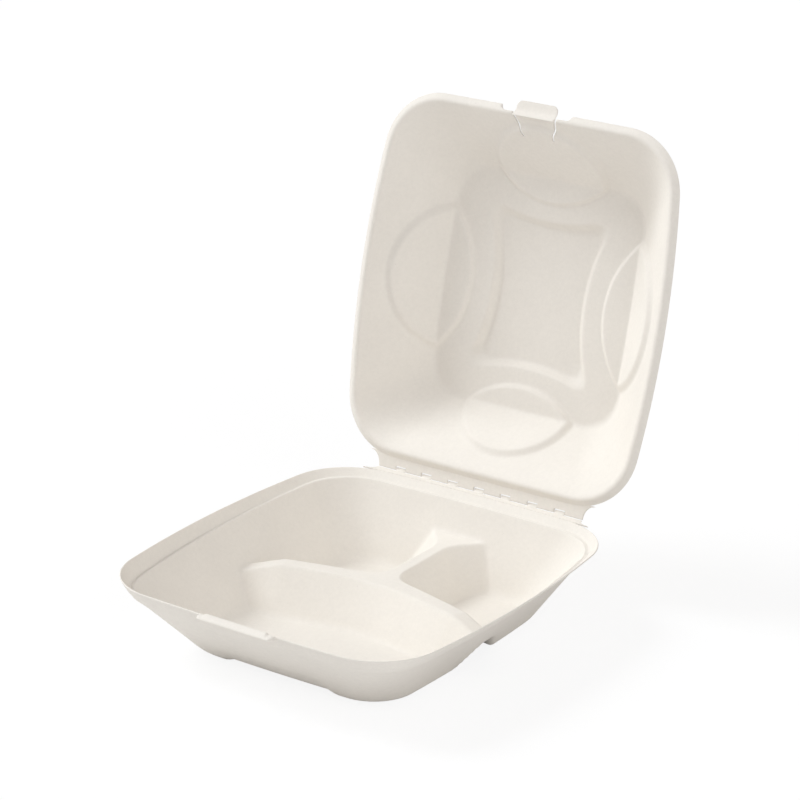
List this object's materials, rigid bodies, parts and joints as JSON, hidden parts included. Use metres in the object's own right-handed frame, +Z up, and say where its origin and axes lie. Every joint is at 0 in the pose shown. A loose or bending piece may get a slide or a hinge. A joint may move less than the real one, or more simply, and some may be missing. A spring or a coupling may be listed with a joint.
{
  "type": "food container",
  "caption": "Moulded-fibre take-away box with a three-compartment tray, a hinged domed lid and a tab that tucks under a catch at the front.",
  "frame": {"origin": "on the table under the front compartment, 40 mm ahead of the middle of the tray's rim", "axes": "+X along the hinge crease, +Y from the catch to the hinge, +Z up from the table"},
  "size_m": [0.23, 0.3364, 0.2902],
  "materials": {
    "fibre": "matte"
  },
  "bodies": {
    "tray_body": {"tray": "fibre"},
    "lid_body": {"lid": "fibre"}
  },
  "joints": [
    {"name": "lid_hinge", "type": "hinge", "parent": "tray_body", "child": "lid_body", "pos_m": [0, 0.1655, 0.05], "axis": [-1, 0, 0], "range_deg": [-103.8, 76.2]}
  ]
}
